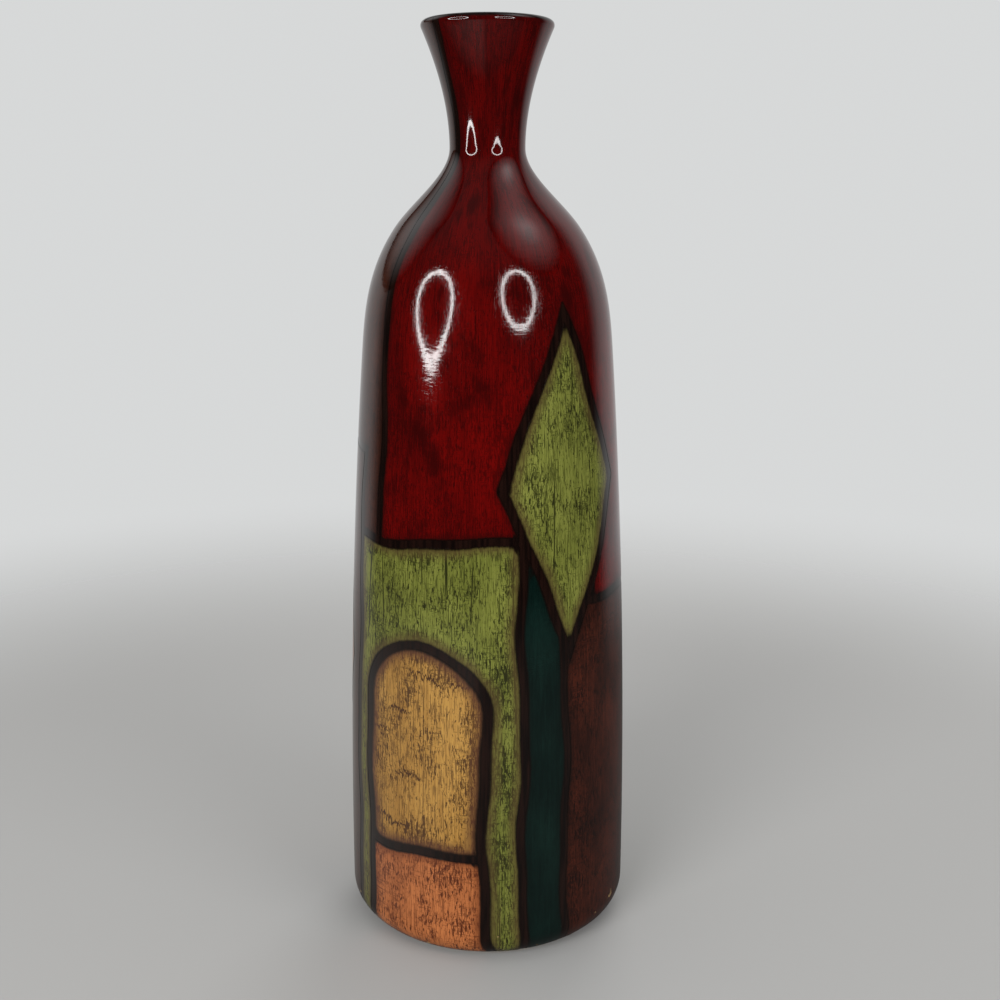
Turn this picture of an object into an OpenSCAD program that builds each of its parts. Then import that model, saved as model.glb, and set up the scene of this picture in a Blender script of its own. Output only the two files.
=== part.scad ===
// Tall bottle vase with a narrow flared neck, painted in colour fields over a dark ground.
// A hollow clay body stands on a foot ring. It has a glaze lining inside and a dark ground coat
// outside, and each colour field is a thin coat of its own on the ground coat.
// Millimetres and degrees. The vase stands on z = 0 round the Z axis. Its front faces -Y, and
// angles on the painting are counted from the front and grow to the right.

/* [Outline] */
// Height from the table to the top of the lip
height = 350; // [325:1:380]
// Largest radius, at the top of the rounded foot edge
belly_r = 56; // [53:0.1:60]
// Height of the rounded foot edge
foot_h = 12.5; // [9:0.1:16]
// How far the rounded foot edge runs in under the wall
foot_in = 14; // [11:0.1:17]
// Radius where the shoulder begins
shoulder_r = 48.1; // [45:0.1:52]
// Lean of the wall where the shoulder begins, in radius per height
shoulder_lean = -0.076; // [-0.12:0.001:-0.03]
// Height from the start of the shoulder up to the slope above it
shoulder_rise = 47.2; // [42:0.1:54]
// Radius on the slope between the shoulder and the neck
slope_r = 34.8; // [31:0.1:37]
// Lean of the wall on that slope, in radius per height
slope_lean = -0.69; // [-0.85:0.01:-0.55]
// Height from the slope up to the waist of the neck
throat_rise = 28.7; // [25:0.1:34]
// Radius at the waist of the neck
waist_r = 14.05; // [12.8:0.05:16]
// Height from the waist of the neck up to the top of the lip
neck_rise = 45; // [40:0.1:52]
// Largest radius of the lip
lip_r = 24.4; // [22:0.1:28]
// Lean of the neck just under the lip, in radius per height
lip_lean = 0.44; // [0.3:0.01:0.6]
// Radius of the round edge of the lip, half the thickness there
lip_round = 2; // [1.5:0.1:2.8]

/* [Clay] */
// Thickness of the wall at the foot
wall = 6; // [4.5:0.1:8]
// Thickness of the floor
floor_t = 6; // [4:0.1:9]
// Radius of the inside corner between the floor and the wall
corner_r = 9; // [4:0.5:14]
// Width of the ring that the vase stands on
foot_ring_w = 8; // [5:0.5:12]
// Depth of the hollow under the floor
hollow_h = 2.2; // [1:0.1:4]

/* [Coats] */
// Thickness of the glaze lining
liner_t = 0.4; // [0.2:0.05:0.8]
// Thickness of the dark ground coat
ground_t = 0.4; // [0.2:0.05:0.8]
// Thickness of the colour fields
paint_t = 0.3; // [0.2:0.05:0.6]
// Clearance between the ground coat and the colour fields on it
paint_clear = 0.05; // [0.03:0.01:0.1]
// Width of the dark lines between the colour fields
line_w = 2.8; // [2:0.1:5]
// Angle on the rounded foot edge at which the ground coat begins
coat_from = 20; // [10:1:30]
// Height above the table at which the colour fields begin
paint_low = 2; // [1.6:0.1:4]
// Depth of the dark edge along the lip
lip_line = 0.8; // [0.5:0.1:4]

/* [Lines round the vase] */
// Angle of the left line of the panel with the front arch
arch_panel_left = -65; // [-69:1:-61]
// Angle of the left line of the teal strip
teal_strip_left = 14; // [10:1:18]
// Angle of the left line of the rust panel
rust_panel_left = 32; // [28:1:36]
// Angle of the left line of the green strip
green_strip_left = 86; // [83:1:89]
// Angle of the left line of the olive panel
olive_panel_left = 101; // [98:1:104]
// Angle of the left line of the panel at the back
back_panel_left = 120; // [116:1:124]
// Angle of the left line of the ochre and olive blocks
blocks_left = 196; // [192:1:202]
// Angle of the left line of the panel at the left side
side_panel_left = 248; // [242:1:251]
// Angle of the line between red and brown, from the front panels up the neck
red_yoke_left = -50; // [-60:1:-40]
// Angle of the line between teal and brown, from the blocks up the neck
brown_yoke_left = 206; // [200:1:230]

/* [Heights of the panels] */
// Drop from the shoulder to the top line of the panel with the front arch
arch_panel_drop = 64; // [52:1:76]
// Angle of that line, up to the right
arch_panel_slope = 3; // [-8:1:8]
// Drop from the shoulder to the top line of the teal strip
teal_strip_drop = 50; // [44:1:60]
// Drop from the shoulder to the top line of the rust panel
rust_panel_drop = 88; // [70:1:110]
// Angle of that line, up to the right
rust_panel_slope = -5; // [-8:1:8]
// Drop from the shoulder to the top line of the green strip
green_strip_drop = 22; // [10:1:70]
// Drop from the shoulder to the top line of the olive panel
olive_panel_drop = 78; // [30:1:100]
// Angle of that line, up to the right
olive_panel_slope = 4; // [-8:1:8]
// Drop from the shoulder to the top line of the panel at the back
back_panel_drop = 44; // [30:1:64]
// Angle of that line, up to the right
back_panel_slope = -3; // [-8:1:8]
// Height of the line between the ochre block and the olive block
blocks_line = 92; // [60:1:110]
// Drop from the shoulder to the top line of the olive block
blocks_drop = 60; // [30:1:80]
// Drop from the shoulder to the top line of the panel at the left side
side_panel_drop = 32; // [20:1:60]
// Angle of that line, up to the right
side_panel_slope = -4; // [-8:1:8]

/* [Motifs] */
// Angle at which the front arch stands
arch_at = -28; // [-31:1:-25]
// Half the width of the front arch
arch_half_w = 25; // [20:0.5:27]
// Height at which the round top of the front arch begins
arch_spring = 102; // [80:1:116]
// Height of the line between the plinth and the arch on it
plinth_line = 44; // [24:1:70]
// Angle at which the green lozenge stands
lozenge_at = 35; // [33:1:37]
// Half the width of the green lozenge
lozenge_half_w = 26; // [20:0.5:28]
// Half the height of the green lozenge
lozenge_half_h = 62; // [50:1:68]
// Drop from the shoulder to the middle of the green lozenge
lozenge_drop = 44; // [38:1:58]
// Angle at which the back arch stands
back_arch_at = 158; // [153:1:163]
// Half the width of the back arch
back_arch_half_w = 20; // [16:0.5:26]
// Height at which the round top of the back arch begins
back_arch_spring = 108; // [80:1:124]
// Angle at which the orange lozenge stands
side_lozenge_at = 271; // [269:1:273]
// Half the width of the orange lozenge
side_lozenge_half_w = 14; // [10:0.5:17]
// Half the height of the orange lozenge
side_lozenge_half_h = 40; // [30:1:48]
// Height of the middle of the orange lozenge
side_lozenge_mid = 112; // [90:1:130]

/* [Hidden] */
$fn = 96;

// Colours
CLAY = "#c8aa78";
GLAZE = "#8a6a48";
UMBER = "#140a07";
RED = "#580706";
GREEN = "#626a2c";
OLIVE = "#515b28";
OCHRE = "#a47a3b";
ORANGE = "#9a5a35";
TEAL = "#0e211d";
BROWN = "#30160d";
RUST = "#3d1a10";

// Degrees in a whole turn
TURN = 360;

// Steps along each stretch of the outline
FOOT_STEPS = 8;
WALL_STEPS = [12, 10, 10, 10];
LIP_STEPS = 6;
CORNER_STEPS = 8;

// Heights measured down from the lip
waist_z = height - neck_rise;
slope_z = waist_z - throat_rise;
shoulder_z = slope_z - shoulder_rise;

// The round edge of the lip leaves the neck at this angle, without a corner
lip_from = -atan(lip_lean);
rim_r = lip_r - lip_round + lip_round * cos(lip_from);
rim_z = height - lip_round + lip_round * sin(lip_from);

// Height of the finished floor inside
floor_z = hollow_h + floor_t + liner_t;
// Half a line between two fields
gap = line_w / 2;
// Far enough to cut right through the vase
reach = 3 * belly_r;
// Top of the olive block
blocks_top = shoulder_z - blocks_drop;
// Right line of the panel at the left side, where the round closes
side_panel_right = arch_panel_left + TURN;

// Stations of the wall, each [height, radius, lean]
stations = [
    [foot_h, belly_r, 0],
    [shoulder_z, shoulder_r, shoulder_lean],
    [slope_z, slope_r, slope_lean],
    [waist_z, waist_r, 0],
    [rim_z, rim_r, lip_lean],
];

function unit(v) = v / norm(v);

// Radius of the cubic between stations a and b, at share t of the way up
function cubic_r(a, b, t) =
    let (rise = b[0] - a[0])
    (2 * t^3 - 3 * t^2 + 1) * a[1] + (3 * t^2 - 2 * t^3) * b[1]
    + rise * ((t^3 - 2 * t^2 + t) * a[2] + (t^3 - t^2) * b[2]);

// Lean of that cubic
function cubic_lean(a, b, t) =
    6 * (t^2 - t) * (a[1] - b[1]) / (b[0] - a[0])
    + (3 * t^2 - 4 * t + 1) * a[2] + (3 * t^2 - 2 * t) * b[2];

// Points on the ground coat's outer face, each [radius, height, outward radius, outward height]
function foot_point(a) = concat(
    [belly_r - foot_in + foot_in * sin(a), foot_h - foot_h * cos(a)],
    unit([sin(a) / foot_in, -cos(a) / foot_h]));
function wall_point(a, b, t) = concat(
    [cubic_r(a, b, t), a[0] + t * (b[0] - a[0])],
    unit([1, -cubic_lean(a, b, t)]));
function lip_point(a) =
    [lip_r - lip_round + lip_round * cos(a), height - lip_round + lip_round * sin(a), cos(a), sin(a)];

foot_points = [for (i = [0 : FOOT_STEPS]) foot_point(coat_from + (90 - coat_from) * i / FOOT_STEPS)];
wall_points = [for (k = [0 : len(WALL_STEPS) - 1], i = [1 : WALL_STEPS[k]])
    wall_point(stations[k], stations[k + 1], i / WALL_STEPS[k])];
lip_outer = [for (i = [1 : LIP_STEPS]) lip_point(lip_from + (90 - lip_from) * i / LIP_STEPS)];
lip_inner = [for (i = [1 : LIP_STEPS]) lip_point(90 + (90 + lip_from) * i / LIP_STEPS)];

// The face that colours can lie on, and the whole face that the ground coat has outside the neck
outside = concat(foot_points, wall_points, lip_outer);
outline = concat(outside, lip_inner);

// Thickness of the wall at a height, from the foot up to the lip
function wall_at(z) = wall + (2 * lip_round - wall) * (z - foot_h) / (rim_z - foot_h);

// Finished inner face, downwards from under the lip, with its directions into the clay
inside_wall = [for (i = [len(wall_points) - 2 : -1 : 0])
    let (p = wall_points[i], t = wall_at(p[1]))
    [p[0] - t * p[2], p[1] - t * p[3], p[2], p[3]]];
mouth_count = WALL_STEPS[len(WALL_STEPS) - 1];
mouth = [for (i = [0 : mouth_count - 1]) inside_wall[i]];
inside_corner = [for (i = [0 : CORNER_STEPS])
    let (a = -90 * i / CORNER_STEPS)
    [belly_r - wall - corner_r + corner_r * cos(a), floor_z + corner_r + corner_r * sin(a), cos(a), sin(a)]];
lining = concat(
    [for (i = [mouth_count - 1 : len(inside_wall) - 1])
        if (inside_wall[i][1] > floor_z + corner_r) inside_wall[i]],
    inside_corner,
    [[0, floor_z, 0, -1]]);

// The points of a face, moved outwards
function moved(points, out) = [for (p = points) [p[0] + out * p[2], p[1] + out * p[3]]];
function reversed(list) = [for (i = [len(list) - 1 : -1 : 0]) list[i]];

clay_outside = moved(outline, -ground_t);
clay_inside = concat(moved(mouth, liner_t), moved(lining, liner_t));
foot_ring_r = clay_outside[0][0] - foot_ring_w;

// Solid of revolution between two faces that run the same way
module turned(face, back) {
    rotate_extrude() polygon(concat(face, reversed(back)));
}

// Coat of colour all round, from the foot to the dark edge of the lip, seated on the ground coat
module colour_coat() {
    intersection() {
        turned(moved(outside, paint_clear + paint_t), moved(outside, paint_clear));
        translate([-reach, -reach, paint_low])
            cube([2 * reach, 2 * reach, height - lip_line - paint_low]);
    }
}

// Upright wedge between two angles, with its sides moved out by grow
module wedge(from, to, grow) {
    half = (to - from) / 2;
    far = [for (share = [-1 : 0.5 : 1]) reach * [sin(share * half), -cos(share * half)]];
    rotate([0, 0, (from + to) / 2])
        translate([0, grow / sin(half), 0])
            linear_extrude(height = height)
                polygon(concat([[0, 0]], far));
}

// Part of a wedge below a line that slopes up to the right, all moved out by grow
module panel(from, to, top, slope, grow) {
    intersection() {
        wedge(from, to, grow);
        rotate([0, 0, (from + to) / 2])
            translate([0, 0, top + grow])
                rotate([0, -slope, 0])
                    translate([-reach, -reach, -2 * height]) cube([2 * reach, 2 * reach, 2 * height]);
    }
}

// A flat shape drawn with x to the right and y up, cut straight in from an angle to the axis
module cut_from(angle) {
    rotate([0, 0, angle]) rotate([90, 0, 0]) linear_extrude(height = reach) children();
}

// All that lies below a level line, moved up by grow
module below(line, grow) {
    translate([-reach, -reach, -height]) cube([2 * reach, 2 * reach, height + line + grow]);
}

// Upright arch from the table to a round top
module arch(angle, half_w, spring, grow) {
    w = half_w + grow;
    cut_from(angle) {
        translate([-w, 0]) square([2 * w, spring]);
        translate([0, spring]) circle(w);
    }
}

// Upright lozenge
module lozenge(angle, half_w, half_h, mid, grow) {
    size = 1 + grow * norm([half_w, half_h]) / (half_w * half_h);
    w = half_w * size;
    h = half_h * size;
    cut_from(angle) polygon([[0, mid - h], [w, mid], [0, mid + h], [-w, mid]]);
}

// The shapes of the painting, each moved out by grow
module front_arch_shape(grow) {
    arch(arch_at, arch_half_w, arch_spring, grow);
}
module green_lozenge_shape(grow) {
    lozenge(lozenge_at, lozenge_half_w, lozenge_half_h, shoulder_z - lozenge_drop, grow);
}
module back_arch_shape(grow) {
    arch(back_arch_at, back_arch_half_w, back_arch_spring, grow);
}
module side_lozenge_shape(grow) {
    lozenge(side_lozenge_at, side_lozenge_half_w, side_lozenge_half_h, side_lozenge_mid, grow);
}
module motif_shapes(grow) {
    front_arch_shape(grow);
    green_lozenge_shape(grow);
    back_arch_shape(grow);
    side_lozenge_shape(grow);
}
module arch_panel_shape(grow) {
    panel(arch_panel_left, teal_strip_left, shoulder_z - arch_panel_drop, arch_panel_slope, grow);
}
module teal_strip_shape(grow) {
    panel(teal_strip_left, rust_panel_left, shoulder_z - teal_strip_drop, 0, grow);
}
module rust_panel_shape(grow) {
    panel(rust_panel_left, green_strip_left, shoulder_z - rust_panel_drop, rust_panel_slope, grow);
}
module green_strip_shape(grow) {
    panel(green_strip_left, olive_panel_left, shoulder_z - green_strip_drop, 0, grow);
}
module olive_panel_shape(grow) {
    panel(olive_panel_left, back_panel_left, shoulder_z - olive_panel_drop, olive_panel_slope, grow);
}
module back_panel_shape(grow) {
    panel(back_panel_left, blocks_left, shoulder_z - back_panel_drop, back_panel_slope, grow);
}
module blocks_shape(top, grow) {
    panel(blocks_left, side_panel_left, top, 0, grow);
}
module side_panel_shape(grow) {
    panel(side_panel_left, side_panel_right, shoulder_z - side_panel_drop, side_panel_slope, grow);
}

// A colour field inside a shape, which leaves room for the motifs
module field() {
    difference() {
        intersection() {
            colour_coat();
            children();
        }
        motif_shapes(gap);
    }
}

// A colour field from the panels under it up to the lip
module yoke(from, to) {
    difference() {
        field() wedge(from, to, -gap);
        children();
    }
}

// A colour field that is a motif
module motif() {
    intersection() {
        colour_coat();
        children();
    }
}

module clay_body() {
    under = [[0, hollow_h], [foot_ring_r - hollow_h, hollow_h], [foot_ring_r, 0], [clay_outside[0][0], 0]];
    color(CLAY) rotate_extrude() polygon(concat(under, clay_outside, clay_inside));
}

module liner_glaze() {
    color(GLAZE) turned(moved(lining, liner_t), moved(lining, 0));
}

module ground_coat() {
    color(UMBER)
        turned(
            concat(moved(outline, 0), moved(mouth, 0)),
            concat(clay_outside, moved(mouth, liner_t)));
}

module red_yoke() {
    color(RED)
        yoke(red_yoke_left, back_panel_left) {
            arch_panel_shape(gap);
            teal_strip_shape(gap);
            rust_panel_shape(gap);
            green_strip_shape(gap);
            olive_panel_shape(gap);
        }
}

module teal_yoke() {
    color(TEAL)
        yoke(back_panel_left, brown_yoke_left) {
            back_panel_shape(gap);
            blocks_shape(blocks_top, gap);
        }
}

module brown_yoke() {
    color(BROWN)
        yoke(brown_yoke_left, red_yoke_left + TURN) {
            blocks_shape(blocks_top, gap);
            side_panel_shape(gap);
            arch_panel_shape(gap);
        }
}

module arch_panel() {
    color(GREEN) field() arch_panel_shape(-gap);
}

module ochre_arch() {
    color(OCHRE)
        difference() {
            motif() front_arch_shape(-gap);
            below(plinth_line, gap);
        }
}

module orange_plinth() {
    color(ORANGE)
        intersection() {
            motif() front_arch_shape(-gap);
            below(plinth_line, -gap);
        }
}

module teal_strip() {
    color(TEAL) field() teal_strip_shape(-gap);
}

module rust_panel() {
    color(RUST) field() rust_panel_shape(-gap);
}

module green_lozenge() {
    color(GREEN) motif() green_lozenge_shape(-gap);
}

module green_strip() {
    color(GREEN) field() green_strip_shape(-gap);
}

module olive_panel() {
    color(OLIVE) field() olive_panel_shape(-gap);
}

module back_panel() {
    color(RUST) field() back_panel_shape(-gap);
}

module green_arch() {
    color(GREEN) motif() back_arch_shape(-gap);
}

module ochre_block() {
    color(OCHRE) field() blocks_shape(blocks_line, -gap);
}

module olive_block() {
    color(OLIVE)
        difference() {
            field() blocks_shape(blocks_top, -gap);
            blocks_shape(blocks_line, gap);
        }
}

module side_panel() {
    color(BROWN) field() side_panel_shape(-gap);
}

module orange_lozenge() {
    color(ORANGE) motif() side_lozenge_shape(-gap);
}

clay_body();
liner_glaze();
ground_coat();
red_yoke();
teal_yoke();
brown_yoke();
arch_panel();
ochre_arch();
orange_plinth();
teal_strip();
rust_panel();
green_lozenge();
green_strip();
olive_panel();
back_panel();
green_arch();
ochre_block();
olive_block();
side_panel();
orange_lozenge();
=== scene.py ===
"""Looks of a tall painted bottle vase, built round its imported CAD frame.

A hollow clay body is lined with glaze and brushed with a dark ground. Colour fields lie on the
ground as thin coats, so that the ground shows between them as dark lines. All of it is antiqued
with streaks and sealed under a clear varnish. Units are metres. The vase stands on z = 0 round the
Z axis and its front faces -Y. Angles on the painting are counted from the front, to the right.
"""
import logging
import math
from dataclasses import dataclass
from enum import Enum
from itertools import pairwise
from typing import Callable, NamedTuple, Sequence

import bpy
import numpy as np
from mathutils import Euler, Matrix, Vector


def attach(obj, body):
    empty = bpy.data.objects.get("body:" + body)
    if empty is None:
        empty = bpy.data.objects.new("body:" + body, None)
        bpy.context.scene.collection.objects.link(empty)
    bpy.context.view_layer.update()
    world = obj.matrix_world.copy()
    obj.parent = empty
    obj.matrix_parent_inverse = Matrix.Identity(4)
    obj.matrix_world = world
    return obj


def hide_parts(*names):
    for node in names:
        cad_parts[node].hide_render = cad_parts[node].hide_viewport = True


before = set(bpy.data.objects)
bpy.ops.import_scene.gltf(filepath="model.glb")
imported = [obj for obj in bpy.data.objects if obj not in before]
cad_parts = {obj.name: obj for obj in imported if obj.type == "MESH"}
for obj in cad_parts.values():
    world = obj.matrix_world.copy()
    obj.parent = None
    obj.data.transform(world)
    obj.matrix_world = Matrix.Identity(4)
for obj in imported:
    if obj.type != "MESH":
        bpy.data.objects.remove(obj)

LOG = logging.getLogger("vase")

MM = 0.001
QUARTER = math.pi / 2
WHOLE_TURN = 360
TURN_STEPS = 180
FOOT_STEPS = 12
WALL_STEPS = (48, 24, 24, 24)
LIP_STEPS = 12
CORNER_STEPS = 8
ARCH_SIDES = 128
FLOOR_SIDES = 128
RING_SIDES = 96
TUBE_SIDES = 12
PANEL_SIDES = 64
FAR = 300 * MM
MERGE = 0.002 * MM
SMOOTH_BELOW = math.radians(38)
BODY = "root"
EDGE = "edge_mm"

Color = tuple[float, float, float]
Place = tuple[float, float, float]


# Modelling by hand

def pick(piece: bpy.types.Object) -> None:
    """Select one piece and nothing else.

    Args:
        piece: The object to select and make active.
    """
    bpy.ops.object.select_all(action="DESELECT")
    piece.select_set(True)
    bpy.context.view_layer.objects.active = piece


def fresh(add: Callable[..., object], name: str, **settings: object) -> bpy.types.Object:
    """Add a primitive while nothing else is selected.

    Args:
        add: The operator that adds it.
        name: Name of the new object.
        settings: Its size and place.

    Returns:
        The new object.
    """
    bpy.ops.object.select_all(action="DESELECT")
    add(**settings)
    bpy.context.object.name = name
    return bpy.context.object


def edit(piece: bpy.types.Object) -> None:
    """Open one piece in edit mode with everything on it selected.

    Args:
        piece: The mesh object to open.
    """
    pick(piece)
    bpy.ops.object.mode_set(mode="EDIT")
    bpy.ops.mesh.select_mode(type="VERT")
    bpy.ops.mesh.select_all(action="SELECT")


def leave_edit() -> None:
    """Go back to object mode."""
    bpy.ops.object.mode_set(mode="OBJECT")


def modify(piece: bpy.types.Object, kind: str, **settings: object) -> None:
    """Put a modifier on a piece and apply it.

    Args:
        piece: The object to change.
        kind: The kind of modifier.
        settings: Its settings by name.
    """
    modifier = piece.modifiers.new(kind.lower(), kind)
    for name, value in settings.items():
        setattr(modifier, name, value)
    pick(piece)
    bpy.ops.object.modifier_apply(modifier=modifier.name)


def turn_on_wheel(name: str, profile: Sequence[tuple[float, float]]) -> bpy.types.Object:
    """Draw a profile point by point and spin it about the vertical axis.

    Args:
        name: Name of the new object.
        profile: Points as (radius, height), in order along the profile.

    Returns:
        The turned object, an open skin or a closed body as its profile is.
    """
    piece = fresh(bpy.ops.mesh.primitive_plane_add, name, size=MM)
    edit(piece)
    bpy.ops.mesh.merge(type="CENTER")
    bpy.ops.transform.translate(value=(profile[0][0], 0, profile[0][1]))
    for (r, z), (next_r, next_z) in pairwise(profile):
        bpy.ops.mesh.extrude_vertices_move(
            TRANSFORM_OT_translate={"value": (next_r - r, 0, next_z - z)})
    bpy.ops.mesh.select_all(action="SELECT")
    bpy.ops.mesh.spin(steps=TURN_STEPS, angle=math.tau, center=(0, 0, 0), axis=(0, 0, 1))
    bpy.ops.mesh.select_all(action="SELECT")
    bpy.ops.mesh.remove_doubles(threshold=MERGE)
    bpy.ops.mesh.normals_make_consistent(inside=False)
    leave_edit()
    return piece


def slice_off(piece: bpy.types.Object, at: Vector, facing: Vector, cap: bool) -> None:
    """Cut a piece by a plane and throw away what lies in front of the plane.

    Args:
        piece: The object to cut.
        at: A point on the plane.
        facing: The side that is thrown away.
        cap: Whether the cut is closed with a face.
    """
    edit(piece)
    bpy.ops.mesh.bisect(plane_co=at, plane_no=facing, use_fill=cap, clear_outer=True)
    leave_edit()


def thicken(skin: bpy.types.Object, thickness: float, outwards: bool) -> None:
    """Give an open skin its thickness, outwards or inwards."""
    side = 1.0 if outwards else -1.0
    modify(skin, "SOLIDIFY", thickness=thickness, offset=side, use_even_offset=True)


def carve(piece: bpy.types.Object, cutter: bpy.types.Object, keep_inside: bool) -> None:
    """Cut a closed piece with a closed cutter, and delete the cutter.

    Args:
        piece: The object to cut.
        cutter: The object to cut it with.
        keep_inside: Whether the part inside the cutter stays, or the part outside.
    """
    operation = "INTERSECT" if keep_inside else "DIFFERENCE"
    modify(piece, "BOOLEAN", operation=operation, solver="MANIFOLD", object=cutter)
    bpy.data.meshes.remove(cutter.data)


def split_cut_walls(piece: bpy.types.Object) -> None:
    """Split the many-sided faces that cuts leave, so that they can bend with the piece.

    Args:
        piece: The object that was cut.
    """
    edit(piece)
    bpy.ops.mesh.select_mode(type="FACE")
    bpy.ops.mesh.select_face_by_sides(number=4, type="GREATER", extend=False)
    bpy.ops.mesh.quads_convert_to_tris(quad_method="BEAUTY", ngon_method="BEAUTY")
    leave_edit()


def points_of(piece: bpy.types.Object) -> np.ndarray:
    """The places of all the vertices of a piece.

    Args:
        piece: The object to read.

    Returns:
        One row of x, y and z for each vertex.
    """
    flat = np.empty(len(piece.data.vertices) * 3)
    piece.data.vertices.foreach_get("co", flat)
    return flat.reshape(-1, 3)


# Outline

class FacePoint(NamedTuple):
    """A point of a turned face and the direction out of that face, as radius and height."""

    r: float
    z: float
    out_r: float
    out_z: float

    def moved(self, out: float) -> tuple[float, float]:
        """The point moved outwards, as (radius, height)."""
        return self.r + out * self.out_r, self.z + out * self.out_z


class Station(NamedTuple):
    """A place where two curves of the wall join: its height, its radius and the lean of the wall."""

    z: float
    r: float
    lean: float


def moved(face: Sequence[FacePoint], out: float) -> list[tuple[float, float]]:
    """A whole face moved outwards, as points of (radius, height)."""
    return [point.moved(out) for point in face]


@dataclass(frozen=True)
class Outline:
    """Outside face of the dark ground, on which the colours lie, and the inside face of the vase."""

    height: float = 350 * MM
    belly_r: float = 56 * MM
    foot_h: float = 12.5 * MM
    foot_in: float = 14 * MM
    shoulder_r: float = 48.1 * MM
    shoulder_lean: float = -0.076
    shoulder_rise: float = 47.2 * MM
    slope_r: float = 34.8 * MM
    slope_lean: float = -0.69
    throat_rise: float = 28.7 * MM
    waist_r: float = 14.05 * MM
    neck_rise: float = 45 * MM
    lip_r: float = 24.4 * MM
    lip_lean: float = 0.44
    lip_round: float = 2 * MM
    wall: float = 6 * MM
    floor_z: float = 8.6 * MM
    corner_r: float = 9 * MM
    coat_from: float = math.radians(20)
    ground_t: float = 0.4 * MM
    liner_t: float = 0.4 * MM

    @property
    def waist_z(self) -> float:
        """Height of the waist of the neck."""
        return self.height - self.neck_rise

    @property
    def shoulder_z(self) -> float:
        """Height at which the shoulder begins."""
        return self.waist_z - self.throat_rise - self.shoulder_rise

    @property
    def lip_from(self) -> float:
        """Angle at which the round edge of the lip leaves the neck."""
        return -math.atan(self.lip_lean)

    def stations(self) -> list[Station]:
        """The places where the curves of the wall join.

        Returns:
            The stations from the foot edge up to the lip.
        """
        rim = self.lip(self.lip_from)
        return [
            Station(self.foot_h, self.belly_r, 0.0),
            Station(self.shoulder_z, self.shoulder_r, self.shoulder_lean),
            Station(self.waist_z - self.throat_rise, self.slope_r, self.slope_lean),
            Station(self.waist_z, self.waist_r, 0.0),
            Station(rim.z, rim.r, self.lip_lean),
        ]

    def foot(self, angle: float) -> FacePoint:
        """A point of the rounded foot edge.

        Args:
            angle: Where it is, from straight down.

        Returns:
            The point.
        """
        across, up = math.sin(angle), math.cos(angle)
        out = Vector((across / self.foot_in, -up / self.foot_h)).normalized()
        return FacePoint(self.belly_r - self.foot_in * (1 - across), self.foot_h * (1 - up), *out)

    def lip(self, angle: float) -> FacePoint:
        """A point of the round edge of the lip.

        Args:
            angle: Where it is, from straight out.

        Returns:
            The point.
        """
        across, up = math.cos(angle), math.sin(angle)
        centre_r, centre_z = self.lip_r - self.lip_round, self.height - self.lip_round
        return FacePoint(centre_r + self.lip_round * across, centre_z + self.lip_round * up, across, up)

    def wall_face(self) -> list[FacePoint]:
        """The wall, as cubic curves between the stations.

        Returns:
            Points from just above the foot edge to the lip.
        """
        face = []
        for (low, high), steps in zip(pairwise(self.stations()), WALL_STEPS):
            rise = high.z - low.z
            for i in range(1, steps + 1):
                t = i / steps
                r = ((2 * t**3 - 3 * t**2 + 1) * low.r + (3 * t**2 - 2 * t**3) * high.r
                     + rise * ((t**3 - 2 * t**2 + t) * low.lean + (t**3 - t**2) * high.lean))
                lean = (6 * (t**2 - t) * (low.r - high.r) / rise
                        + (3 * t**2 - 4 * t + 1) * low.lean + (3 * t**2 - 2 * t) * high.lean)
                face.append(FacePoint(r, low.z + t * rise, *Vector((1, -lean)).normalized()))
        return face

    def outside(self) -> list[FacePoint]:
        """The face that colours can lie on.

        Returns:
            Points from the foot to the top of the lip.
        """
        foot_turn = QUARTER - self.coat_from
        lip_turn = QUARTER - self.lip_from
        foot = [self.foot(self.coat_from + foot_turn * i / FOOT_STEPS) for i in range(FOOT_STEPS + 1)]
        lip = [self.lip(self.lip_from + lip_turn * i / LIP_STEPS) for i in range(1, LIP_STEPS + 1)]
        return foot + self.wall_face() + lip

    def over_lip(self) -> list[FacePoint]:
        """The inner half of the round edge of the lip, downwards."""
        turn = QUARTER + self.lip_from
        return [self.lip(QUARTER + turn * i / LIP_STEPS) for i in range(1, LIP_STEPS + 1)]

    def inside_wall(self) -> list[FacePoint]:
        """The finished inner face of the wall, which thins towards the lip.

        Returns:
            Points downwards from under the lip, with their directions into the clay.
        """
        top = self.stations()[-1].z
        face = []
        for point in reversed(self.wall_face()[:-1]):
            share = (point.z - self.foot_h) / (top - self.foot_h)
            thick = self.wall + (2 * self.lip_round - self.wall) * share
            face.append(FacePoint(*point.moved(-thick), point.out_r, point.out_z))
        return face

    def mouth(self) -> list[FacePoint]:
        """Inner face of the neck, from under the lip down to the waist."""
        return self.inside_wall()[:WALL_STEPS[-1]]

    def lining(self) -> list[FacePoint]:
        """The inner face that is glazed.

        Returns:
            Points from the waist of the neck down to the middle of the floor.
        """
        corner_z = self.floor_z + self.corner_r
        corner_x = self.belly_r - self.wall - self.corner_r
        wall = [p for p in self.inside_wall()[WALL_STEPS[-1] - 1:] if p.z > corner_z]
        corner = []
        for i in range(CORNER_STEPS + 1):
            turn = QUARTER * i / CORNER_STEPS
            across, up = math.cos(turn), -math.sin(turn)
            corner.append(FacePoint(
                corner_x + self.corner_r * across, corner_z + self.corner_r * up, across, up))
        return wall + corner + [FacePoint(0, self.floor_z, 0, -1)]

    def radius_at(self, z: np.ndarray) -> np.ndarray:
        """Radius of the outside face at some heights."""
        face = self.outside()
        return np.interp(z, [p.z for p in face], [p.r for p in face])

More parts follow.
